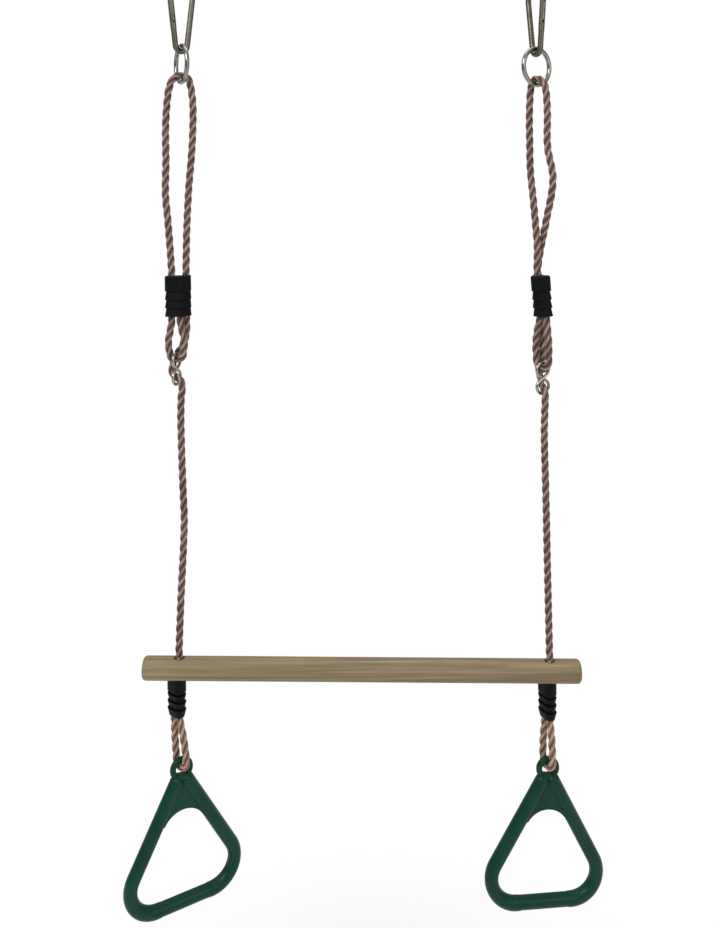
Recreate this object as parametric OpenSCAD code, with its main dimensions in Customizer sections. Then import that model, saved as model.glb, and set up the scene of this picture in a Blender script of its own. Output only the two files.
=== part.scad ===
// Trapeze bar with two triangle handles on adjustable twisted ropes, in millimetres.
// X runs along the bar to the right, Y away from the viewer, Z up.
// The origin is midway between the tops of the two snap hooks, where they bear.

/* [Snap hooks and rings] */
// Distance between the two hanging points
hang_span = 468; // [300:1:700]
// How much higher the left hanging point is than the right one
hang_rise = 8; // [0:1:20]
// Rod diameter of the snap hook
hook_d = 7.5; // [6:0.5:10]
// Overall length of the snap hook
hook_len = 95; // [80:1:110]
// Centreline radius of the snap hook's top bend
hook_top_r = 16; // [14:0.5:20]
// Centreline radius of the snap hook's bottom bend
hook_bottom_r = 8; // [7.5:0.5:9]
// Outer diameter of the gate tube
gate_d = 8; // [7.5:0.5:9]
// Rod diameter of the ring
ring_rod_d = 6; // [5:0.5:7]
// Outer diameter of the ring
ring_d = 54; // [48:1:60]

/* [Ropes and sleeves] */
// Rope diameter
rope_d = 10; // [9:0.5:10]
// Length of the upper sleeves
upper_sleeve_len = 53; // [45:1:60]
// Lobe radius of the upper sleeves
upper_lobe_r = 9.1; // [8.5:0.1:10]
// Length of the lower sleeves
lower_sleeve_len = 48; // [40:1:50]
// Lobe radius of the lower sleeves
lower_lobe_r = 8.8; // [7.6:0.1:9]
// How far the lower sleeves' ribs step in
rib_depth = 2.4; // [1.5:0.1:2.6]
// How far the upper sleeves' ribs step in
upper_depth = 1.8; // [1:0.1:2.6]
// Wire diameter of the figure-eight adjusters
eight_wire_d = 4; // [3:0.2:4.4]
// Centreline radius of the figure-eight's loops
eight_loop_r = 9.3; // [9:0.1:10]

/* [Bar] */
// Bar diameter
bar_d = 30; // [26:1:36]
// Bar length
bar_len = 576; // [540:1:640]
// Distance between the rope holes
hole_span = 488; // [450:1:510]
// Diameter of the rope holes
hole_d = 12.5; // [11.5:0.5:15]
// Rounding of the bar's ends
bar_round = 5; // [2:0.5:10]

/* [Triangle handles] */
// Rod diameter of the handle's sides
side_d = 18; // [16:0.5:20]
// Rod diameter of the handle's grip
grip_d = 17; // [15:0.5:20]
// Outer width of the triangle without its rounded corners
tri_w = 224; // [200:1:260]
// Outer height of the triangle without its rounded corners
tri_h = 199; // [180:1:230]
// Outer radius of the bottom corners
corner_r = 44; // [30:0.5:50]
// Rod diameter of the eyelet
lug_d = 8; // [7:0.5:9]
// Centreline radius of the eyelet
lug_r = 11.7; // [11.2:0.1:13]
// Thickness of the web under the eyelet
web_t = 10; // [6:0.5:15]

/* [Hidden] */
$fn = 48;
eps = 0.01;
tuck = 0.05;
step_in = 0.03;
fit = 0.1;
round_sides = 10;

side_x = [-hang_span / 2, hang_span / 2];
// How far each side's own origin lies below its hanging point
side_drop = 15;
side_z = [hang_rise / 2 - side_drop, -hang_rise / 2 - side_drop];

hook_r = hook_d / 2;
hook_yaw = [210, -62];
hook_bottom_z = side_drop + hook_d - hook_len;
top_z = side_drop + hook_r - hook_top_r;
low_z = hook_bottom_z + hook_r + hook_bottom_r;
nose_turn = 35;
nose_shift = 6;
nose_r = hook_top_r - nose_shift;
nose_x = nose_shift * cos(nose_turn);
nose_z = top_z + nose_shift * sin(nose_turn);
spine_len = top_z - low_z;
spine_turn = asin((hook_top_r - hook_bottom_r) / spine_len);
gate_line = norm([nose_x, nose_z - low_z]);
gate_turn = atan(nose_x / (nose_z - low_z)) + asin((nose_r - hook_bottom_r) / gate_line);
gate_line_len = sqrt(pow(gate_line, 2) - pow(nose_r - hook_bottom_r, 2));
pin_at = 31.5;
gate_reach = gate_line_len - pin_at;
cheek_reach = 10;
swing_gap = 0.35;
tang_t = 2.8;
slot_t = 3.4;
slot_up = 5.6;
tongue_t = 2.6;
tongue_len = 5.4;
tongue_w = 5.6;
mouth_len = 6.6;
pin_d = 2.2;
pin_hole_d = 2.6;
pin_len = 7;
latch_d = 1.6;
latch_in = 2.7;
latch_notch_r = 1.35;
bore_d = 4.4;
spring_wire_d = 0.7;
spring_coil_r = 1.7;
spring_turns = 5;
spring_steps = 9;
spring_lift = 4.6;

ring_r = ring_d / 2 - ring_rod_d / 2;
ring_gap = 0.8;
ring_yaw = [-62, 36];
ring_z = hook_bottom_z + hook_d + ring_rod_d / 2 + ring_gap - ring_r;

rope_r = rope_d / 2;
bore_r = rope_r + fit;
guide_bore_r = rope_r + fit + fit;
guide_r = 6.7;
pair_gap = 10.4;
guide_rib_depth = 0.8;
guide_taper = 0.3;
band_lead = 4.5;
brim = 1.4;
guide_web_w = 8;
guide_u = 12.2;
guide_v = [8, -8];
ribs = 3;
upper_rib = 11;
lower_rib = 9.6;
upper_at = [[-9.6, -3, -417], [5.1, -3.5, -413]];
upper_yaw = [0, 125];
upper_lean = [0, -3.7];
stub_len = 45;

eight_at = [[-9.3, -3, -475.4], [3.8, -3, -484.1]];
eight_yaw = [70, 25];
eight_pitch = 22;

hole_x = [-(hole_span - hang_span) / 2, (hole_span - hang_span) / 2];
bar_z = -881.5;
// How far the bar reaches further out on the left than on the right of its holes, halved
bar_shift = -3.4;
bar_tilt = atan(hang_rise / hole_span);
hole_flare = 1;

lower_yaw = [-38, -62];
lower_x = [for (i = [0, 1]) hole_x[i] - pair_gap / 2 * cos(lower_yaw[i])];
lower_y = [for (i = [0, 1]) -pair_gap / 2 * sin(lower_yaw[i])];
lower_top = bar_z - bar_d / 2;
lower_bottom = lower_top - lower_sleeve_len;
tail_len = 40;
eye_step = 15;
eye_lead = 4;
lug_at = [[-8.2, 0, -1013.3], [6.4, 0, -1009.2]];
handle_yaw = [30.6, 8.5];
// How far each handle hangs rolled in its own plane
handle_roll = [-0.8, 2.5];

lug_rod = lug_d / 2;
lug_outer = lug_r + lug_rod;
hole_r = lug_r - lug_rod;
side_r = side_d / 2;
grip_r = grip_d / 2;
flare = atan(tri_w / 2 / tri_h);
apex_z = lug_outer;
base_z = apex_z - tri_h;
bend_r = corner_r - side_r;
bend_z = base_z + corner_r;
bend_x = (apex_z - bend_z) * tan(flare) - corner_r / cos(flare);
leg_top_z = -16;
leg_top_x = (apex_z - leg_top_z) * tan(flare) - side_r / cos(flare);
arch_top = -51.7;
// The arch touches the inner sides of both legs, and the web ends there
arch_r = (apex_z - side_d / sin(flare) - arch_top) / (1 / sin(flare) - 1) + 0.3;
web_low = arch_top - arch_r * (1 - sin(flare));
collar_d = grip_d + 0.8;
collar_w = 2.4;

// Rope routes, as centreline points relative to each side's hanging point
loop_route = [
  [[-14.8, -3, -363.9], [-14.8, -3, -359], [-16.4, -5, -325], [-18.5, -7, -290], [-21, -8, -256],
   [-20, -8, -215], [-20, -8, -170], [-18, -7.5, -137], [-14.6, -6.6, -115], [-9.6, -4.8, -104.6],
   [-4.6, -2.3, -101.6], [0, 0, -100.8], [4.2, 2.1, -101.6], [8.2, 4.2, -105], [10.8, 5.6, -114],
   [13.3, 7, -137], [13, 7, -170], [11, 6.6, -205], [7, 6, -250], [4, 5.4, -305], [2.6, 5, -359],
   [2.6, 5, -363.9]],
  [[-1.31, 0.8, -359.9], [-1.69, 0.8, -354], [-1.5, -1.5, -321], [-3.3, 1, -289], [-5, 6, -258],
   [-7.4, 11, -222], [-7.8, 12, -185], [-7.9, 12, -147], [-6.6, 9.6, -116], [-4.8, 6.8, -106],
   [-2.4, 3.2, -101.8], [0, 0, -100.8], [2.8, -3.4, -101.8], [6.2, -7.4, -105.6], [9.6, -10.6, -115],
   [11.2, -12.4, -147], [11, -12.4, -190], [17.8, -12, -234], [10, -3.6, -289], [5.6, 8.2, -321],
   [0.91, 11.1, -354], [1.29, 11.1, -359.9]]];
eye_route = [
  [[-14.8, -3, -364], [-14.8, -3, -417], [-16.2, -3, -430], [-19.8, -3, -450], [-18.6, -3, -463],
   [-17.4, -3, -469.6], [-12.7, -3, -473.6], [-5.9, -3, -473.6], [-1.2, -3, -469.6], [0, -3, -463],
   [1.2, -3, -450], [-3, -3, -430], [-4.4, -3, -417], [-4.4, -3, -372]],
  [[-1.3, 0.8, -360], [2.1, 0.8, -413], [-0.8, 2.4, -428], [-3, 5.6, -448], [-2.9, 4.2, -468],
   [-2, 2.6, -477.8], [1.5, -0.8, -482.3], [6.1, -5.2, -482.3], [9.6, -8.6, -477.8], [10.5, -9.8, -468],
   [10.6, -10.2, -448], [9.4, -8.8, -428], [8.1, -7.8, -413], [5.1, -7.8, -368]]];
run_route = [
  [[2.6, 5, -364], [2.6, 5, -417], [2, 7.5, -440], [-3, 9.6, -456], [-9.4, 11, -466.5],
   [-15.4, 8.2, -479], [-16.6, 2.8, -489.5], [-13.6, -0.8, -495], [-9.3, -3, -497.4], [-4.6, -5.6, -500],
   [-1.6, -6.6, -508], [-3.6, -4, -524], [-4.8, -1, -560], [-3.2, 0, -640], [-1.8, 0, -690],
   [-7, 0, -790], [-10, 0, -856], [-10, 0, -866.4]],
  [[1.3, 11.1, -360], [4.7, 11.1, -413], [6.4, 13, -440], [6.6, 13.4, -466], [4, 12.2, -482],
   [2.5, 8.7, -492.5], [2.7, 4.8, -499.9], [4.4, -7.6, -509.4], [5.2, -12.2, -515.5], [4.8, -10.6, -533],
   [4.8, -5, -570], [6.8, -1, -640], [8.4, 0, -745], [10, 0, -856], [10, 0, -866.4]]];

function unit(v) = v / norm(v);
function heading(p, i) = unit(p[min(i + 1, len(p) - 1)] - p[max(i - 1, 0)]);
function square_to(u, t) = unit(u - (u * t) * t);
function carried(p, i, u) =
  let (v = square_to(u, heading(p, i)))
  i == len(p) - 1 ? [v] : concat([v], carried(p, i + 1, v));

// A round tube along a route, as one closed skin
module tube(route, r, sides = round_sides) {
  across = carried(route, 0, [0.8, 0.6, 0.05]);
  skin = [for (i = [0:len(route) - 1])
    let (n = across[i])
    let (b = cross(heading(route, i), n))
    for (k = [0:sides - 1])
      let (a = 360 * k / sides)
      route[i] + r * (cos(a) * n + sin(a) * b)];
  last = (len(route) - 1) * sides;
  walls = [for (i = [0:len(route) - 2])
    for (k = [0:sides - 1])
      let (j = (k + 1) % sides)
      [i * sides + k, (i + 1) * sides + k, (i + 1) * sides + j, i * sides + j]];
  caps = [[for (k = [0:sides - 1]) k], [for (k = [sides - 1:-1:0]) last + k]];
  polyhedron(skin, concat(walls, caps), convexity = 6);
}

module on_side(i) {
  translate([side_x[i], 0, side_z[i]]) children();
}

module in_hook(i) {
  on_side(i) rotate([0, 0, hook_yaw[i]]) children();
}

// Frame of the gate's straight line: origin at the low tangent point, Z along the gate
module on_gate_line() {
  translate([hook_bottom_r * cos(gate_turn), 0, low_z - hook_bottom_r * sin(gate_turn)])
    rotate([0, gate_turn, 0]) children();
}

module across_pin(d, len) {
  rotate([90, 0, 0]) cylinder(h = len, d = d, center = true);
}

// Part of a round bend in the XZ plane
module bend(r, rod, from, turn) {
  rotate([90, 0, 0]) rotate([0, 0, from])
    rotate_extrude(angle = turn) translate([r, 0]) circle(r = rod);
}

module hook_body() {
  nose_tuck = tuck / nose_r * 180 / PI;
  difference() {
    union() {
      translate([0, 0, low_z])
        bend(hook_bottom_r, hook_r, 180 + spine_turn, 180 - spine_turn - gate_turn);
      translate([0, 0, top_z])
        bend(hook_top_r, hook_r, nose_turn, 180 + spine_turn - nose_turn);
      translate([nose_x, 0, nose_z])
        bend(nose_r, hook_r - step_in, -gate_turn, nose_turn + gate_turn + nose_tuck);
      translate([-hook_bottom_r * cos(spine_turn), 0, low_z - hook_bottom_r * sin(spine_turn)])
        rotate([0, -spine_turn, 0]) translate([0, 0, -tuck])
        cylinder(h = spine_len * cos(spine_turn) + 2 * tuck, r = hook_r - step_in);
      on_gate_line() translate([0, 0, -tuck])
        cylinder(h = pin_at - cheek_reach + hook_r, r = hook_r - step_in);
    }
    on_gate_line() translate([0, 0, pin_at]) across_pin(2 * (cheek_reach + swing_gap), hook_len);
    on_gate_line() translate([0, 0, pin_at]) intersection() {
      across_pin(2 * (gate_reach + swing_gap), hook_len);
      translate([-hook_d, -hook_d, 0]) cube([2 * hook_d, 2 * hook_d, gate_reach + 1]);
    }
  }
}

module hook_tang() {
  difference() {
    intersection() {
      cylinder(h = pin_at + hook_len, r = hook_r);
      union() {
        translate([0, 0, pin_at]) across_pin(hook_d, tang_t);
        translate([-hook_r, -tang_t / 2, pin_at - cheek_reach - hook_r])
          cube([hook_d, tang_t, cheek_reach + hook_r]);
      }
    }
    translate([0, 0, pin_at]) across_pin(pin_d, hook_d);
  }
}

module hook_tongue() {
  difference() {
    translate([-tongue_w / 2, -tongue_t / 2, gate_line_len - tongue_len])
      cube([tongue_w, tongue_t, tongue_len + 1]);
    translate([0, 0, gate_line_len - latch_in]) across_pin(2 * latch_notch_r, hook_d);
    translate([-hook_d, -hook_d / 2, gate_line_len - latch_in - latch_notch_r])
      cube([hook_d, hook_d, 2 * latch_notch_r]);
  }
}

module carabiner(i) {
  color([0.45, 0.43, 0.4]) in_hook(i) {
    hook_body();
    on_gate_line() hook_tang();
    on_gate_line() hook_tongue();
  }
}

module gate(i) {
  color([0.48, 0.46, 0.42]) in_hook(i) on_gate_line() difference() {
    intersection() {
      translate([0, 0, pin_at - cheek_reach - 1])
        cylinder(h = cheek_reach + gate_reach + 2, d = gate_d);
      union() {
        translate([0, 0, pin_at]) across_pin(2 * cheek_reach, 2 * gate_d);
        intersection() {
          translate([0, 0, pin_at]) across_pin(2 * gate_reach, 2 * gate_d);
          translate([-gate_d, -gate_d, pin_at]) cube([2 * gate_d, 2 * gate_d, gate_reach + 1]);
        }
      }
    }
    translate([-gate_d, -slot_t / 2, pin_at - cheek_reach - 1])
      cube([2 * gate_d, slot_t, cheek_reach + slot_up + 1]);
    translate([-gate_d, -slot_t / 2, pin_at + gate_reach - mouth_len])
      cube([2 * gate_d, slot_t, mouth_len + 1]);
    translate([0, 0, pin_at]) across_pin(pin_hole_d, 2 * gate_d);
    translate([0, 0, pin_at + gate_reach - latch_in]) across_pin(latch_d, gate_d - 1);
    translate([0, 0, pin_at + spring_lift - spring_wire_d])
      cylinder(h = gate_reach - spring_lift + spring_wire_d - mouth_len - 1, d = bore_d);
  }
}

module gate_pin(i) {
  color([0.2, 0.2, 0.2]) in_hook(i) on_gate_line() translate([0, 0, pin_at])
    across_pin(pin_d, pin_len);
}

module latch_pin(i) {
  color([0.3, 0.3, 0.3]) in_hook(i) on_gate_line()
    translate([0, 0, pin_at + gate_reach - latch_in]) across_pin(latch_d, gate_d - 1);
}

module gate_spring(i) {
  steps = spring_turns * spring_steps;
  rise = gate_reach - spring_lift - mouth_len - 1.6;
  color([0.6, 0.6, 0.6]) in_hook(i) on_gate_line() translate([0, 0, pin_at + spring_lift])
    tube([for (k = [0:steps])
      let (a = 360 * k / spring_steps)
      [spring_coil_r * cos(a), spring_coil_r * sin(a), rise * k / steps]], spring_wire_d / 2, 6);
}

module ring(i) {
  color([0.7, 0.7, 0.68]) on_side(i) translate([0, 0, ring_z]) rotate([0, 0, ring_yaw[i]])
    bend(ring_r, ring_rod_d / 2, 0, 360);
}

// One tapered lobe pair of a sleeve
module rib_pair(low_r, high_r, tall) {
  for (s = [-1, 1]) translate([s * pair_gap / 2, 0, 0]) cylinder(h = tall, r1 = low_r, r2 = high_r);
  translate([-pair_gap / 2, 0, 0]) rotate([90, 0, 90]) linear_extrude(pair_gap)
    polygon([[-low_r, 0], [low_r, 0], [high_r, tall], [-high_r, tall]]);
}

// Saw-tooth ribs under a plain band: up 1 makes them wide at the top, up 0 at the bottom
module ribbed_pair(total, lobe_r, rib, up, depth) {
  for (k = [0:ribs - 1]) translate([0, 0, k * rib])
    rib_pair(lobe_r - up * depth, lobe_r - (1 - up) * depth, rib);
  translate([0, 0, ribs * rib]) rib_pair(lobe_r - up * depth, lobe_r, band_lead);
  translate([0, 0, ribs * rib + band_lead]) rib_pair(lobe_r, lobe_r, total - ribs * rib - band_lead - brim);
  translate([0, 0, total - brim]) rib_pair(lobe_r, lobe_r - (1 - up) * brim, brim);
}

module guide_lobe(total, rib, v) {
  web_turn = atan2(v, guide_u - pair_gap / 2);
  web_len = norm([guide_u - pair_gap / 2, v]);
  translate([guide_u, v, 0]) {
    for (k = [0:ribs - 1]) translate([0, 0, k * rib])
      cylinder(h = rib, r1 = guide_r, r2 = guide_r - guide_rib_depth);
    translate([0, 0, ribs * rib]) cylinder(h = total - ribs * rib, r1 = guide_r, r2 = guide_r - guide_taper);
  }
  translate([pair_gap / 2, 0, 0]) rotate([0, 0, web_turn]) translate([web_len / 2, 0, total / 2])
    cube([web_len - 1, guide_web_w, total - 1.2], center = true);
}

module in_upper_sleeve(i) {
  on_side(i) translate(upper_at[i]) rotate([0, upper_lean[i], 0])
    rotate([0, 0, upper_yaw[i]]) children();
}

module upper_sleeve(i) {
  stub_side = i == 0 ? 1 : -1;
  v = guide_v[i];
  color([0.08, 0.08, 0.09]) in_upper_sleeve(i) difference() {
    union() {
      ribbed_pair(upper_sleeve_len, upper_lobe_r, upper_rib, 0, upper_depth);
      guide_lobe(upper_sleeve_len, upper_rib, v);
    }
    translate([-stub_side * pair_gap / 2, 0, -1]) cylinder(h = upper_sleeve_len + 2, r = bore_r);
    translate([stub_side * pair_gap / 2, 0, -1]) cylinder(h = stub_len + 1.2, r = bore_r);
    translate([guide_u, v, -1]) cylinder(h = upper_sleeve_len + 2, r = guide_bore_r);
  }
}

module figure_eight(i) {
  open_turn = acos(2 * eight_loop_r / eight_pitch);
  wire_len = sqrt(pow(eight_pitch, 2) - pow(2 * eight_loop_r, 2));
  color([0.75, 0.75, 0.73]) on_side(i) translate(eight_at[i]) rotate([0, 0, eight_yaw[i]]) {
    bend(eight_loop_r, eight_wire_d / 2, open_turn - 90, 360 - 2 * open_turn);
    translate([0, 0, -eight_pitch])
      bend(eight_loop_r, eight_wire_d / 2, open_turn + 90, 360 - 2 * open_turn);
    translate([0, 0, -eight_pitch / 2]) for (s = [-1, 1]) rotate([0, s * (90 - open_turn), 0])
      cylinder(h = wire_len + 2 * tuck, r = eight_wire_d / 2 - step_in, center = true);
  }
}

module rope_loop(i) {
  color([0.55, 0.42, 0.36]) on_side(i) tube(loop_route[i], rope_r);
}

module rope_eye(i) {
  color([0.55, 0.42, 0.36]) on_side(i) tube(eye_route[i], rope_r);
}

module rope_run(i) {
  color([0.55, 0.42, 0.36]) on_side(i) tube(run_route[i], rope_r);
}

module in_bar() {
  translate([0, 0, bar_z - side_drop]) rotate([0, bar_tilt, 0]) children();
}

module bar() {
  color([0.6, 0.52, 0.42]) in_bar() difference() {
    rotate([0, 90, 0]) translate([0, 0, bar_shift - bar_len / 2]) {
      translate([0, 0, bar_round]) cylinder(h = bar_len - 2 * bar_round, d = bar_d);
      for (z = [bar_round, bar_len - bar_round]) translate([0, 0, z]) {
        rotate_extrude() translate([bar_d / 2 - bar_round, 0]) intersection() {
          circle(r = bar_round);
          translate([0, -bar_round]) square([bar_round, 2 * bar_round]);
        }
        cylinder(h = 2 * bar_round, d = bar_d - 2 * bar_round, center = true);
      }
    }
    for (s = [-1, 1]) translate([s * hole_span / 2, 0, 0]) {
      cylinder(h = 2 * bar_d, d = hole_d, center = true);
      for (t = [0, 180]) rotate([t, 0, 0]) translate([0, 0, bar_d / 2 - hole_flare - 1])
        cylinder(h = hole_flare + 2, d1 = hole_d, d2 = hole_d + 2 * (hole_flare + 2));
    }
  }
}

// Frame of a lower sleeve: origin at its bottom, long way along X
module in_lower_sleeve(i) {
  on_side(i) translate([lower_x[i], lower_y[i], lower_bottom])
    rotate([0, 0, lower_yaw[i]]) children();
}

module lower_sleeve(i) {
  color([0.08, 0.08, 0.09]) difference() {
    in_lower_sleeve(i) difference() {
      ribbed_pair(lower_sleeve_len + 3, lower_lobe_r, lower_rib, 1, rib_depth);
      for (s = [-1, 1]) translate([s * pair_gap / 2, 0, -1])
        cylinder(h = lower_sleeve_len + 6, r = bore_r);
    }
    in_bar() rotate([0, 90, 0]) cylinder(h = bar_len, d = bar_d + 2 * fit, center = true);
  }
}

// The main rope through the bar and the sleeve, and the tail in the sleeve's other bore
module rope_anchor(i) {
  color([0.55, 0.42, 0.36]) in_lower_sleeve(i) {
    translate([pair_gap / 2, 0, 0]) cylinder(h = lower_sleeve_len + bar_d - fit, r = rope_r);
    translate([-pair_gap / 2, 0, 0]) cylinder(h = tail_len, r = rope_r);
  }
}

module handle_rope(i) {
  u = [cos(lower_yaw[i]), sin(lower_yaw[i]), 0];
  mouth = [lower_x[i], lower_y[i], lower_bottom - fit];
  turn_r = rope_r + lug_rod + 0.9;
  tip = lug_at[i] + [0, 0, lug_r];
  low = [for (a = [180:eye_step:360]) tip + turn_r * (cos(a) * u + [0, 0, sin(a)])];
  near = mouth - u * pair_gap / 2;
  far = mouth + u * pair_gap / 2;
  down = [0, 0, -eye_lead];
  color([0.55, 0.42, 0.36]) on_side(i)
    tube(concat([near, near + down, 0.5 * (near + low[0]) - u], low,
      [0.5 * (far + low[len(low) - 1]) + u, far + down, far]), rope_r);
}

module handle_frame(i) {
  on_side(i) translate(lug_at[i]) rotate([0, handle_roll[i], handle_yaw[i]]) children();
}

module web_shape() {
  low_x = (apex_z - web_low) * tan(flare) - side_r / cos(flare);
  difference() {
    polygon([[-leg_top_x, leg_top_z + side_r], [leg_top_x, leg_top_z + side_r],
      [low_x, web_low], [-low_x, web_low]]);
    translate([0, arch_top - arch_r]) circle(r = arch_r);
  }
}

module handle_leg(s) {
  bend_top_x = bend_x + bend_r * cos(flare);
  bend_top_z = bend_z + bend_r * sin(flare);
  leg_len = norm([bend_top_x - leg_top_x, leg_top_z - bend_top_z]);
  mirror([s < 0 ? 1 : 0, 0, 0]) {
    translate([leg_top_x, 0, leg_top_z]) {
      sphere(r = side_r);
      rotate([0, 180 - flare, 0]) cylinder(h = leg_len + tuck, r = side_r - step_in);
    }
    translate([bend_x, 0, bend_z]) bend(bend_r, side_r, -90, 90 + flare);
  }
}

module handle(i) {
  color([0.07, 0.28, 0.2]) handle_frame(i) difference() {
    union() {
      bend(lug_r, lug_rod, 0, 360);
      for (s = [-1, 1]) handle_leg(s);
      rotate([90, 0, 0]) linear_extrude(web_t, center = true) web_shape();
      translate([0, 0, bend_z - bend_r]) rotate([0, 90, 0]) {
        cylinder(h = 2 * bend_x + 2, r = grip_r, center = true);
        for (s = [-1, 1]) translate([0, 0, s * (bend_x - collar_w)])
          cylinder(h = collar_w, d = collar_d, center = true);
      }
    }
    rotate([90, 0, 0]) cylinder(h = 2 * side_d, r = hole_r, center = true);
  }
}

carabiner(0);  // left_carabiner
carabiner(1);  // right_carabiner
gate(0);  // left_gate
gate(1);  // right_gate
gate_pin(0);  // left_gate_pin
gate_pin(1);  // right_gate_pin
gate_spring(0);  // left_gate_spring
gate_spring(1);  // right_gate_spring
latch_pin(0);  // left_latch_pin
latch_pin(1);  // right_latch_pin
ring(0);  // left_ring
ring(1);  // right_ring
rope_loop(0);  // left_rope_loop
rope_loop(1);  // right_rope_loop
rope_eye(0);  // left_rope_eye
rope_eye(1);  // right_rope_eye
rope_run(0);  // left_rope_run
rope_run(1);  // right_rope_run
rope_anchor(0);  // left_rope_anchor
rope_anchor(1);  // right_rope_anchor
handle_rope(0);  // left_handle_rope
handle_rope(1);  // right_handle_rope
upper_sleeve(0);  // left_upper_sleeve
upper_sleeve(1);  // right_upper_sleeve
figure_eight(0);  // left_figure_eight
figure_eight(1);  // right_figure_eight
lower_sleeve(0);  // left_lower_sleeve
lower_sleeve(1);  // right_lower_sleeve
bar();
handle(0);  // left_handle
handle(1);  // right_handle
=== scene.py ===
import bmesh
import bpy
import math
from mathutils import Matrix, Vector, noise


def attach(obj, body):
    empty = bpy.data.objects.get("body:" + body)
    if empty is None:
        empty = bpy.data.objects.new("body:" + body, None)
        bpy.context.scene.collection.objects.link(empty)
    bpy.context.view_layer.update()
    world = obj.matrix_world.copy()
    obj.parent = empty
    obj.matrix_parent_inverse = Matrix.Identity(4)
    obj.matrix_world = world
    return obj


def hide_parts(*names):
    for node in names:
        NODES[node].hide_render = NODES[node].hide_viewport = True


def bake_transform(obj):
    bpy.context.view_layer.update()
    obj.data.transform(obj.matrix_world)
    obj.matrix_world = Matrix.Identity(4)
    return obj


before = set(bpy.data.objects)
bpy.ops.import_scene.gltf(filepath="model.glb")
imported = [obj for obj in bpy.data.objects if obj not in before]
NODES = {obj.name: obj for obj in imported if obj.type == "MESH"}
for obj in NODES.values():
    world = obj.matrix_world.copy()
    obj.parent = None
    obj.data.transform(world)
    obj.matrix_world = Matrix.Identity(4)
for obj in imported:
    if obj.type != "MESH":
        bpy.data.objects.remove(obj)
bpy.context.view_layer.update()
SCENE = bpy.context.scene
SIDES = ("left", "right")
MM = 0.001

# Each side has its own origin, 15 mm below its hanging point. The left one hangs 8 mm higher.
HALF_SPAN = 0.234
HALF_RISE = 0.004
DROP = 0.015
HANG = {"left": Vector((-HALF_SPAN, 0, HALF_RISE - DROP)),
        "right": Vector((HALF_SPAN, 0, -HALF_RISE - DROP))}

# The camera stands level, 1.25 m in front of the bar's plane.
METRES_PER_PIXEL = 1.318 * MM
PICTURE_HEIGHT = 928
MIDDLE_COLUMN = 360
MIDDLE_ROW = 464
HORIZON_ROW = 190
DISTANCE = 1.25
ROLL = 0.0089
SENSOR_WIDTH = 36
# Where the picture's middle column crosses the bar's plane
MIDDLE_X = -3.4 * MM
# Mean height of the lowest points of the snap hooks, and how many rows above the middle it is
HOOK_LOW_Z = -72.5 * MM - DROP
HOOK_ROWS_UP = 408.2


def to_frame(column, row):
    """Picture point on the plane Y = 0, as X and Z in metres."""
    across = (column - MIDDLE_COLUMN) - ROLL * (row - MIDDLE_ROW)
    down = (row - MIDDLE_ROW) + ROLL * (column - MIDDLE_COLUMN)
    return MIDDLE_X + METRES_PER_PIXEL * across, HOOK_LOW_Z - METRES_PER_PIXEL * (down + HOOK_ROWS_UP)


def add_camera():
    data = bpy.data.cameras.new("camera")
    camera = bpy.data.objects.new("camera", data)
    SCENE.collection.objects.link(camera)
    SCENE.camera = camera
    x, z = to_frame(MIDDLE_COLUMN, HORIZON_ROW)
    camera.location = (x, -DISTANCE, z)
    camera.rotation_euler = (math.pi / 2, ROLL, 0)
    data.sensor_fit = "AUTO"
    data.sensor_width = SENSOR_WIDTH
    data.lens = SENSOR_WIDTH * DISTANCE / (PICTURE_HEIGHT * METRES_PER_PIXEL)
    data.shift_y = (HORIZON_ROW - PICTURE_HEIGHT / 2) / PICTURE_HEIGHT
    data.clip_start = 0.01
    data.clip_end = 60


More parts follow.
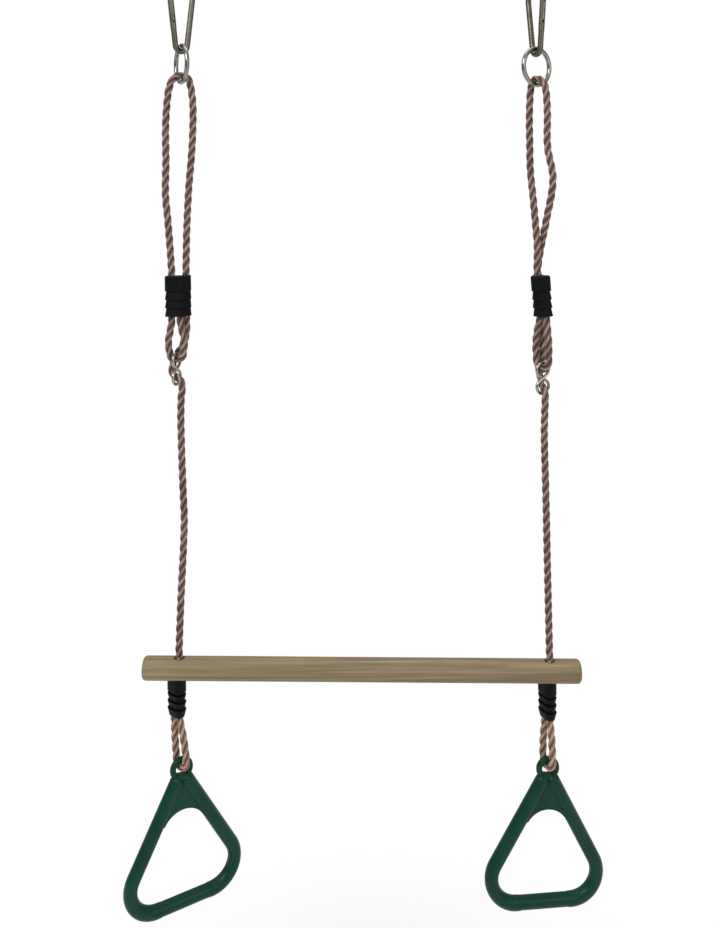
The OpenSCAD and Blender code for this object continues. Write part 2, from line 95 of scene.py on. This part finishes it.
class Graph:
    """Short names for building a node tree."""

    def __init__(self, tree):
        self.tree = tree

    def new(self, kind, **values):
        node = self.tree.nodes.new("ShaderNode" + kind)
        for key, value in values.items():
            setattr(node, key, value)
        return node

    def set(self, node, socket, value):
        """Link a socket to another node, or give it a plain value."""
        s = node.inputs[socket]
        if isinstance(value, bpy.types.NodeSocket):
            self.tree.links.new(value, s)
        elif isinstance(value, bpy.types.Node):
            self.tree.links.new(value.outputs[0], s)
        elif s.type == "RGBA":
            s.default_value = (*value, 1)
        else:
            s.default_value = value

    def coord(self, which="Object"):
        return self.new("TexCoord").outputs[which]

    def mapping(self, vector, scale=(1, 1, 1), rotation=(0, 0, 0), location=(0, 0, 0)):
        node = self.new("Mapping")
        self.set(node, "Vector", vector)
        self.set(node, "Scale", scale)
        self.set(node, "Rotation", rotation)
        self.set(node, "Location", location)
        return node.outputs[0]

    def noise(self, vector, scale, detail=3.0, rough=0.55):
        node = self.new("TexNoise")
        self.set(node, "Vector", vector)
        self.set(node, "Scale", scale)
        self.set(node, "Detail", detail)
        self.set(node, "Roughness", rough)
        return node.outputs["Fac"]

    def wave(self, vector, scale, distort=2.0, detail=2.0, direction="X"):
        node = self.new("TexWave", bands_direction=direction)
        self.set(node, "Vector", vector)
        self.set(node, "Scale", scale)
        self.set(node, "Distortion", distort)
        self.set(node, "Detail", detail)
        return node.outputs["Fac"]

    def ramp(self, fac, stops):
        node = self.new("ValToRGB")
        self.set(node, "Fac", fac)
        elements = node.color_ramp.elements
        while len(elements) < len(stops):
            elements.new(0.5)
        for element, (at, color) in zip(elements, stops):
            element.position = at
            element.color = (*color, 1)
        return node.outputs[0]

    def math(self, operation, a, b=0.0):
        node = self.new("Math", operation=operation)
        self.set(node, 0, a)
        self.set(node, 1, b)
        return node.outputs[0]

    def plus(self, a, b):
        return self.math("ADD", a, b)

    def times(self, a, b):
        return self.math("MULTIPLY", a, b)

    def mix(self, fac, a, b, blend="MIX"):
        node = self.new("Mix", data_type="RGBA", blend_type=blend)
        self.set(node, 0, fac)
        self.set(node, 6, a)
        self.set(node, 7, b)
        return node.outputs[2]

    def bump(self, height, strength, distance, normal=None):
        node = self.new("Bump")
        self.set(node, "Height", height)
        self.set(node, "Strength", strength)
        self.set(node, "Distance", distance)
        if normal is not None:
            self.set(node, "Normal", normal)
        return node.outputs[0]

    def shader_mix(self, fac, a, b):
        node = self.new("MixShader")
        self.set(node, 0, fac)
        self.set(node, 1, a)
        self.set(node, 2, b)
        return node.outputs[0]


class Material(Graph):
    """A material on one Principled shader."""

    def __init__(self, name, metal=0.0, spec=0.5):
        self.mat = bpy.data.materials.new(name)
        self.mat.use_nodes = True
        super().__init__(self.mat.node_tree)
        self.bsdf = self.tree.nodes["Principled BSDF"]
        self.set(self.bsdf, "Metallic", metal)
        self.set(self.bsdf, "Specular IOR Level", spec)

    def out(self, color, rough, normal):
        self.set(self.bsdf, "Base Color", color)
        self.set(self.bsdf, "Roughness", rough)
        self.set(self.bsdf, "Normal", normal)
        return self.mat


def rope_material(name, tint):
    """Twisted fibres: UV u runs across each strand (0 to 1), v is the length in metres."""
    g = Material(name, spec=0.25)
    uv = g.new("SeparateXYZ")
    g.set(uv, 0, g.coord("UV"))
    u, v = uv.outputs[0], uv.outputs[1]
    # Yarns run slantwise across the strand
    slant = g.new("CombineXYZ")
    g.set(slant, 0, g.plus(g.times(u, 5.5), g.times(v, -150.0)))
    g.set(slant, 1, g.times(v, 20.0))
    yarn = g.wave(slant.outputs[0], 0.5, distort=1.2)
    obj = g.coord()
    fine = g.noise(g.mapping(obj, scale=(1, 1, 0.45)), 1500, detail=4, rough=0.7)
    soft = g.noise(obj, 90, rough=0.6)
    broad = g.noise(obj, 14, detail=2)
    # 0 in the valley between strands, 1 on the crest of one: painted shade in the valleys and a painted
    # highlight on the crests
    off_middle = g.math("ABSOLUTE", g.math("SUBTRACT", u, 0.5))
    crest = g.math("POWER", g.math("SUBTRACT", 1.0, g.times(off_middle, 2.0)), 0.55)
    # The crest's painted shade and highlight, with fibre noise, pick the rope's colour
    crest_light_and_fibres = g.plus(g.plus(g.times(crest, 0.52), g.times(soft, 0.30)), g.times(fine, 0.26))
    dark, mid, light, crest_highlight = tint
    col = g.ramp(crest_light_and_fibres, [(0.34, dark), (0.60, mid), (0.76, light), (0.88, crest_highlight)])
    shaded = g.mix(1.0, col, (0.55, 0.47, 0.45), "MULTIPLY")
    col = g.mix(g.times(yarn, 0.28), col, shaded)
    tone = g.ramp(broad, [(0.35, (0.86, 0.84, 0.84)), (0.65, (1.10, 1.07, 1.05))])
    col = g.mix(1.0, col, tone, "MULTIPLY")
    normal = g.bump(fine, 0.6, 0.0004, g.bump(yarn, 0.55, 0.0006))
    return g.out(col, g.plus(0.7, g.times(fine, 0.25)), normal)


def steel_material(name, base, rough, grain=0.3, stain=0.5):
    g = Material(name, metal=1.0)
    obj = g.coord()
    streak = g.noise(g.mapping(obj, scale=(1, 1, 0.3)), 420, rough=0.5)
    cloud = g.noise(obj, 75, rough=0.5)
    dark = tuple(c * 0.55 for c in base)
    lite = tuple(min(1, c * 1.2) for c in base)
    col = g.ramp(cloud, [(0.32, dark), (0.5, base), (0.70, lite)])
    col = g.mix(stain, base, col)
    return g.out(col, g.plus(rough - 0.05, g.times(streak, 0.12)), g.bump(streak, grain, 0.00004))


def sleeve_material():
    g = Material("sleeve black plastic", spec=0.09)
    obj = g.coord()
    grain = g.noise(obj, 2600, rough=0.6)
    cloud = g.noise(obj, 70)
    scuff = g.noise(g.mapping(obj, scale=(1, 1, 3)), 260, detail=5, rough=0.7)
    col = g.ramp(cloud, [(0.3, (0.0018, 0.0018, 0.0022)), (0.7, (0.0050, 0.0050, 0.0060))])
    col = g.mix(g.times(g.math("GREATER_THAN", scuff, 0.66), 0.5), col, (0.014, 0.014, 0.015))
    normal = g.bump(cloud, 0.15, 0.0006, g.bump(grain, 0.22, 0.00025))
    return g.out(col, g.plus(0.44, g.times(scuff, 0.2)), normal)


def handle_material():
    g = Material("handle green plastic", spec=0.16)
    obj = g.coord()
    grain = g.noise(obj, 1500, rough=0.6)
    cloud = g.noise(obj, 18)
    flow = g.wave(obj, 14, distort=6, detail=3)
    scuff = g.noise(g.mapping(obj, rotation=(0.3, 0.7, 0.2), scale=(1, 4, 1)), 240, detail=5, rough=0.75)
    col = g.ramp(cloud, [(0.3, (0.0010, 0.031, 0.017)), (0.7, (0.0020, 0.050, 0.029))])
    col = g.mix(g.times(flow, 0.12), col, (0.001, 0.018, 0.010))
    normal = g.bump(cloud, 0.15, 0.0012, g.bump(grain, 0.12, 0.00018))
    return g.out(col, g.plus(0.26, g.times(scuff, 0.2)), normal)


def wood_material():
    """Wood with its grain along X."""
    g = Material("bar wood", spec=0.35)
    obj = g.coord()
    warp = g.noise(g.mapping(obj, scale=(0.035, 1, 1)), 30, detail=2)
    grain = g.noise(g.mapping(obj, scale=(0.02, 1, 1)), 260, detail=5, rough=0.62)
    fibre = g.noise(g.mapping(obj, scale=(0.03, 1, 1)), 1600, rough=0.6)
    tilted = g.mapping(obj, scale=(0.04, 1, 0.8), rotation=(0.5, 0, 0.03))
    rings = g.wave(tilted, 60, distort=3.5, detail=3, direction="Z")
    broad = g.noise(g.mapping(obj, scale=(0.4, 1, 1)), 12)
    dark, mid, light = (0.122, 0.084, 0.041), (0.218, 0.164, 0.088), (0.318, 0.256, 0.152)
    col = g.ramp(grain, [(0.32, dark), (0.5, mid), (0.68, light)])
    col = g.mix(g.times(rings, 0.30), col, (0.143, 0.100, 0.048))
    col = g.mix(g.times(warp, 0.35), col, (0.248, 0.204, 0.122))
    spot = g.ramp(broad, [(0.35, (0.86, 0.84, 0.82)), (0.65, (1.05, 1.04, 1.02))])
    col = g.mix(1.0, col, spot, "MULTIPLY")
    normal = g.bump(fibre, 0.30, 0.0002, g.bump(grain, 0.35, 0.0004))
    return g.out(col, g.plus(0.42, g.times(grain, 0.3)), normal)


# Rope colours from the painted shade in the valley between strands to the painted highlight on the
# crests
MAUVE = ((0.050, 0.027, 0.023), (0.150, 0.095, 0.080), (0.320, 0.226, 0.190), (0.600, 0.470, 0.395))
TAN = ((0.095, 0.052, 0.030), (0.265, 0.168, 0.112), (0.480, 0.340, 0.250), (0.720, 0.560, 0.440))
M_ROPE = rope_material("rope fibres", MAUVE)
M_ROPE_LOW = rope_material("rope fibres low", TAN)
M_HOOK = steel_material("snap hook steel", (0.135, 0.124, 0.096), 0.40)
M_GATE = steel_material("snap hook gate steel", (0.162, 0.150, 0.118), 0.36, stain=0.45)
M_PIN = steel_material("pin steel", (0.010, 0.010, 0.010), 0.5)
M_SPRING = steel_material("spring wire", (0.45, 0.45, 0.43), 0.28)
M_RING = steel_material("ring polished steel", (0.270, 0.260, 0.225), 0.20, grain=0.15, stain=0.35)
M_WIRE = steel_material("adjuster wire", (0.340, 0.325, 0.280), 0.22, grain=0.15, stain=0.35)
M_SLEEVE = sleeve_material()
M_HANDLE = handle_material()
M_WOOD = wood_material()
SIDE_MATERIALS = {"carabiner": M_HOOK, "gate": M_GATE, "gate_pin": M_PIN, "latch_pin": M_PIN,
                  "gate_spring": M_SPRING, "ring": M_RING, "figure_eight": M_WIRE,
                  "upper_sleeve": M_SLEEVE, "lower_sleeve": M_SLEEVE, "handle": M_HANDLE,
                  "rope_loop": M_ROPE, "rope_eye": M_ROPE, "rope_run": M_ROPE,
                  "rope_anchor": M_ROPE_LOW, "handle_rope": M_ROPE_LOW}


def paint(obj, mat):
    obj.data.materials.clear()
    obj.data.materials.append(mat)


def paint_nodes():
    for side in SIDES:
        for part, mat in SIDE_MATERIALS.items():
            paint(NODES[side + "_" + part], mat)
    paint(NODES["bar"], M_WOOD)


def smooth(mesh, angle=0.6):
    """Smooth shading with sharp edges kept."""
    for p in mesh.polygons:
        p.use_smooth = True
    bm = bmesh.new()
    bm.from_mesh(mesh)
    for e in bm.edges:
        if len(e.link_faces) == 2 and e.calc_face_angle(0) > angle:
            e.smooth = False
    bm.to_mesh(mesh)
    bm.free()


# Rope routes in millimetres from each side's own origin, as in the part's source
LOOP = {
    "left": [(-14.8, -3, -363.9), (-14.8, -3, -359), (-16.4, -5, -325), (-18.5, -7, -290),
             (-21, -8, -256), (-20, -8, -215), (-20, -8, -170), (-18, -7.5, -137),
             (-14.6, -6.6, -115), (-9.6, -4.8, -104.6), (-4.6, -2.3, -101.6), (0, 0, -100.8),
             (4.2, 2.1, -101.6), (8.2, 4.2, -105), (10.8, 5.6, -114), (13.3, 7, -137),
             (13, 7, -170), (11, 6.6, -205), (7, 6, -250), (4, 5.4, -305), (2.6, 5, -359),
             (2.6, 5, -363.9)],
    "right": [(-1.31, 0.8, -359.9), (-1.69, 0.8, -354), (-1.5, -1.5, -321), (-3.3, 1, -289),
              (-5, 6, -258), (-7.4, 11, -222), (-7.8, 12, -185), (-7.9, 12, -147),
              (-6.6, 9.6, -116), (-4.8, 6.8, -106), (-2.4, 3.2, -101.8), (0, 0, -100.8),
              (2.8, -3.4, -101.8), (6.2, -7.4, -105.6), (9.6, -10.6, -115), (11.2, -12.4, -147),
              (11, -12.4, -190), (17.8, -12, -234), (10, -3.6, -289), (5.6, 8.2, -321),
              (0.91, 11.1, -354), (1.29, 11.1, -359.9)]}
EYE = {
    "left": [(-14.8, -3, -364), (-14.8, -3, -417), (-16.2, -3, -430), (-19.8, -3, -450),
             (-18.6, -3, -463), (-17.4, -3, -469.6), (-12.7, -3, -473.6), (-5.9, -3, -473.6),
             (-1.2, -3, -469.6), (0, -3, -463), (1.2, -3, -450), (-3, -3, -430),
             (-4.4, -3, -417), (-4.4, -3, -372)],
    "right": [(-1.3, 0.8, -360), (2.1, 0.8, -413), (-0.8, 2.4, -428), (-3, 5.6, -448),
              (-2.9, 4.2, -468), (-2, 2.6, -477.8), (1.5, -0.8, -482.3), (6.1, -5.2, -482.3),
              (9.6, -8.6, -477.8), (10.5, -9.8, -468), (10.6, -10.2, -448), (9.4, -8.8, -428),
              (8.1, -7.8, -413), (5.1, -7.8, -368)]}
RUN = {
    "left": [(2.6, 5, -364), (2.6, 5, -417), (2, 7.5, -440), (-3, 9.6, -456), (-9.4, 11, -466.5),
             (-15.4, 8.2, -479), (-16.6, 2.8, -489.5), (-13.6, -0.8, -495), (-9.3, -3, -497.4),
             (-4.6, -5.6, -500), (-1.6, -6.6, -508), (-3.6, -4, -524), (-4.8, -1, -560),
             (-3.2, 0, -640), (-1.8, 0, -690), (-7, 0, -790), (-10, 0, -856), (-10, 0, -866.4)],
    "right": [(1.3, 11.1, -360), (4.7, 11.1, -413), (6.4, 13, -440), (6.6, 13.4, -466),
              (4, 12.2, -482), (2.5, 8.7, -492.5), (2.7, 4.8, -499.9), (4.4, -7.6, -509.4),
              (5.2, -12.2, -515.5), (4.8, -10.6, -533), (4.8, -5, -570), (6.8, -1, -640),
              (8.4, 0, -745), (10, 0, -856), (10, 0, -866.4)]}

# The rope's skin: radius, length of one full twist, and points round one strand
ROPE_R = 0.005
LAY = 0.040
STRANDS = 3
PER_STRAND = 8
# A strand's radius as a share of the rope's
STRAND_SHARE = 0.54


def path_of(side, points):
    return [HANG[side] + Vector(p) * MM for p in points]


def rounded(p, step=0.0012):
    """Points close together on a smooth curve through the points p."""
    out = []
    last = len(p) - 1
    for i in range(last):
        a, b = p[i], p[i + 1]
        span = (b - a).length
        leave, arrive = b - a, b - a
        if i > 0:
            leave = (b - p[i - 1]) * (span / (span + (a - p[i - 1]).length))
        if i + 1 < last:
            arrive = (p[i + 2] - a) * (span / (span + (p[i + 2] - b).length))
        pieces = max(1, round(span / step))
        for j in range(pieces):
            t = j / pieces
            from_a, from_leave = 2 * t**3 - 3 * t**2 + 1, t**3 - 2 * t**2 + t
            from_b, from_arrive = -2 * t**3 + 3 * t**2, t**3 - t**2
            out.append(from_a * a + from_leave * leave + from_b * b + from_arrive * arrive)
    out.append(p[last])
    return out


def frames_along(line):
    """Two directions square to the line at each of its points, carried along without twist."""
    last = len(line) - 1
    tangents = [(line[min(i + 1, last)] - line[max(i - 1, 0)]).normalized() for i in range(last + 1)]
    u = Vector((0.8, 0.6, 0.05))
    out = []
    for t in tangents:
        u = (u - u.dot(t) * t).normalized()
        out.append((u, t.cross(u)))
    return out


def lobe_radius(phi):
    """Outline of three touching strands: phi is the angle from the nearest crest."""
    strand = ROPE_R * STRAND_SHARE
    centre = ROPE_R - strand
    return centre * math.cos(phi) + math.sqrt(max(0.0, strand * strand - (centre * math.sin(phi)) ** 2))


def rope(name, line, phase, mat):
    """A three-strand rope as one skin round a line of points. The strands climb to the right."""
    around = STRANDS * PER_STRAND
    lobe = 2 * math.pi / STRANDS
    lengths = [0.0]
    for a, b in zip(line, line[1:]):
        lengths.append(lengths[-1] + (b - a).length)
    verts = []
    for p, (u, b), length in zip(line, frames_along(line), lengths):
        turn = 2 * math.pi * (length / LAY) + phase
        swell = 1 + 0.025 * noise.noise(p * 160)
        for k in range(around):
            a = 2 * math.pi * k / around
            phi = ((a + lobe / 2) % lobe) - lobe / 2
            fuzz = 1 + 0.02 * noise.noise(Vector((a * 3, length * 900, phase)))
            radius = lobe_radius(phi) * min(1.0, swell * fuzz)
            verts.append(p + radius * (math.cos(a + turn) * u + math.sin(a + turn) * b))
    rings = len(line)
    walls = []
    for i in range(rings - 1):
        for k in range(around):
            j = (k + 1) % around
            walls.append((i * around + k, i * around + j, (i + 1) * around + j, (i + 1) * around + k))
    ends = [tuple(range(around))[::-1], tuple((rings - 1) * around + k for k in range(around))]
    mesh = bpy.data.meshes.new(name)
    mesh.from_pydata([v[:] for v in verts], [], walls + ends)
    layer = mesh.uv_layers.new(name="UVMap")
    for poly in mesh.polygons:
        poly.use_smooth = True
        i, k = divmod(poly.index, around)
        if poly.index < len(walls):
            across = (k + PER_STRAND // 2) % PER_STRAND
            left, right = across / PER_STRAND, (across + 1) / PER_STRAND
            corners = [(left, lengths[i]), (right, lengths[i]),
                       (right, lengths[i + 1]), (left, lengths[i + 1])]
        else:
            corners = [(0.5, lengths[v // around]) for v in poly.vertices]
        for loop, corner in zip(poly.loop_indices, corners):
            layer.data[loop].uv = corner
    mesh.update()
    ob = bpy.data.objects.new(name, mesh)
    SCENE.collection.objects.link(ob)
    paint(ob, mat)
    return ob, lengths[-1]


def stretch(side, part, route, phase, mat=M_ROPE):
    """One stretch of rope, in place of its CAD node."""
    line = rounded(path_of(side, route))
    ob, length = rope(side + "_" + part + "_strands", line, phase, mat)
    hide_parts(side + "_" + part)
    return ob, line, length


def add_upper_ropes(side):
    # The loop over the ring
    ob, line, length = stretch(side, "rope_loop", LOOP[side], phase=0.4)
    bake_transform(ob)
    # The eye under the upper sleeve
    ob, line, length = stretch(side, "rope_eye", EYE[side], phase=1.1)
    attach(ob, side + "_adjuster")
    # The main rope down to the bar
    ob, line, length = stretch(side, "rope_run", RUN[side], phase=2.0)
    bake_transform(ob)


# Lower eyes in millimetres, as in the part's source: the sleeve's turn in degrees, the rope's
# hole, the sleeve's bottom and its two bores, and the eyelet that the eye holds
SLEEVE_YAW = {"left": -38, "right": -62}
HOLE_X = {"left": -10, "right": 10}
SLEEVE_LOW = -944.5
PAIR_GAP = 10.4
FIT = 0.1
LUG_AT = {"left": Vector((-8.2, 0, -1013.3)), "right": Vector((6.4, 0, -1009.2))}
LUG_R = 11.7
LUG_ROD_R = 4
# Room between the rope and the eyelet's rod, the step round the eye and its straight ends
EYE_ROOM = 0.9
EYE_STEP = 15
EYE_LEAD = 4
ANCHOR_LEN = 78
TAIL_LEN = 40


def add_lower_ropes(side):
    yaw = math.radians(SLEEVE_YAW[side])
    u = Vector((math.cos(yaw), math.sin(yaw), 0))
    mouth = Vector((HOLE_X[side], 0, SLEEVE_LOW - FIT)) - u * PAIR_GAP / 2
    near, far = mouth - u * PAIR_GAP / 2, mouth + u * PAIR_GAP / 2
    tip = LUG_AT[side] + Vector((0, 0, LUG_R))
    turn_r = ROPE_R / MM + LUG_ROD_R + EYE_ROOM
    turns = [math.radians(turn) for turn in range(180, 361, EYE_STEP)]
    bow = [tip + turn_r * (math.cos(t) * u + Vector((0, 0, math.sin(t)))) for t in turns]
    down = Vector((0, 0, -EYE_LEAD))
    # The eye that carries the handle
    route = [near, near + down, 0.5 * (near + bow[0]) - u] + bow
    route += [0.5 * (far + bow[-1]) + u, far + down, far]
    ob, line, length = stretch(side, "handle_rope", route, phase=0.7, mat=M_ROPE_LOW)
    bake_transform(ob)
    # The stretch inside the bar and the lower sleeve
    foot = Vector((HOLE_X[side], 0, SLEEVE_LOW))
    route = [foot, foot + Vector((0, 0, ANCHOR_LEN))]
    ob, line, length = stretch(side, "rope_anchor", route, phase=0.2, mat=M_ROPE_LOW)
    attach(ob, "bar")
    # The tail in the sleeve's other bore
    line = rounded(path_of(side, [near, near + Vector((0, 0, TAIL_LEN))]))
    ob, length = rope(side + "_rope_tail_strands", line, phase=1.5, mat=M_ROPE_LOW)
    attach(ob, "bar")


def add_world():
    """Soft light from above. The camera sees plain white."""
    world = bpy.data.worlds.new("world")
    SCENE.world = world
    world.use_nodes = True
    world.node_tree.nodes.clear()
    g = Graph(world.node_tree)
    height = g.new("SeparateXYZ")
    g.set(height, 0, g.coord("Generated"))
    sky = g.new("Background")
    g.set(sky, "Color", g.ramp(height.outputs[2], [(0.0, (0.42, 0.42, 0.43)), (1.0, (1, 1, 1))]))
    g.set(sky, "Strength", 0.75)
    white = g.new("Background")
    g.set(white, "Color", (1, 1, 1))
    ray = g.new("LightPath")
    seen = g.math("MAXIMUM", ray.outputs["Is Camera Ray"], ray.outputs["Is Transmission Ray"])
    g.set(g.new("OutputWorld"), "Surface", g.shader_mix(seen, sky, white))


# Lamps: name, place, width and height, and power in watts. All aim at one point between the ropes.
LAMPS = (("key", (-1.1, -1.7, 1.0), (1.0, 1.0), 34),
         ("fill", (1.5, -1.6, 0.1), (1.2, 1.6), 14),
         ("top", (0.0, 0.3, 1.6), (1.6, 0.8), 16))
LAMP_AIM = Vector((0, 0, -0.55))


def add_lamps():
    for name, place, (width, height), power in LAMPS:
        data = bpy.data.lights.new(name, "AREA")
        data.shape = "RECTANGLE"
        data.size = width
        data.size_y = height
        data.energy = power
        lamp = bpy.data.objects.new(name, data)
        SCENE.collection.objects.link(lamp)
        lamp.location = place
        lamp.rotation_euler = (LAMP_AIM - Vector(place)).to_track_quat("-Z", "Y").to_euler()


FLOOR_Z = -1.62
FLOOR_Y = 2.0
FLOOR_SIZE = 14
# Between these distances from the point below the part, the floor fades into plain white
FADE_FROM = 0.35
FADE_TO = 0.75


def add_floor():
    """White paper that keeps the shadow near the part."""
    bpy.ops.mesh.primitive_plane_add(size=FLOOR_SIZE, location=(0, FLOOR_Y, FLOOR_Z))
    floor = bpy.context.object
    floor.name = "floor"
    g = Material("floor paper", spec=0.1)
    paper = g.noise(g.coord(), 300)
    shade = g.ramp(paper, [(0.3, (0.93, 0.93, 0.93)), (0.7, (0.96, 0.96, 0.96))])
    g.out(shade, 0.9, g.bump(paper, 0.05, 0.0002))
    away = g.new("VectorMath", operation="LENGTH")
    g.set(away, 0, g.mapping(g.coord(), location=(0, FLOOR_Y, 0)))
    fade = g.new("MapRange", interpolation_type="SMOOTHSTEP")
    g.set(fade, "Value", away.outputs["Value"])
    g.set(fade, "From Min", FADE_FROM)
    g.set(fade, "From Max", FADE_TO)
    ray = g.new("LightPath")
    bent = g.math("MAXIMUM", ray.outputs["Is Glossy Ray"], ray.outputs["Is Transmission Ray"])
    seen = g.math("MAXIMUM", ray.outputs["Is Camera Ray"], bent)
    glow = g.new("Emission")
    g.set(glow, "Color", (1, 1, 1))
    mixed = g.shader_mix(g.times(seen, fade.outputs["Result"]), g.bsdf, glow)
    g.set(g.tree.nodes["Material Output"], "Surface", mixed)
    floor.data.materials.append(g.mat)


add_camera()
paint_nodes()
for side in SIDES:
    add_upper_ropes(side)
for side in SIDES:
    add_lower_ropes(side)

SCENE.view_settings.view_transform = "Standard"
SCENE.view_settings.look = "None"
SCENE.view_settings.exposure = 0
SCENE.view_settings.gamma = 1
add_world()
add_lamps()
add_floor()

for node in NODES.values():
    if not node.hide_render:
        smooth(node.data)
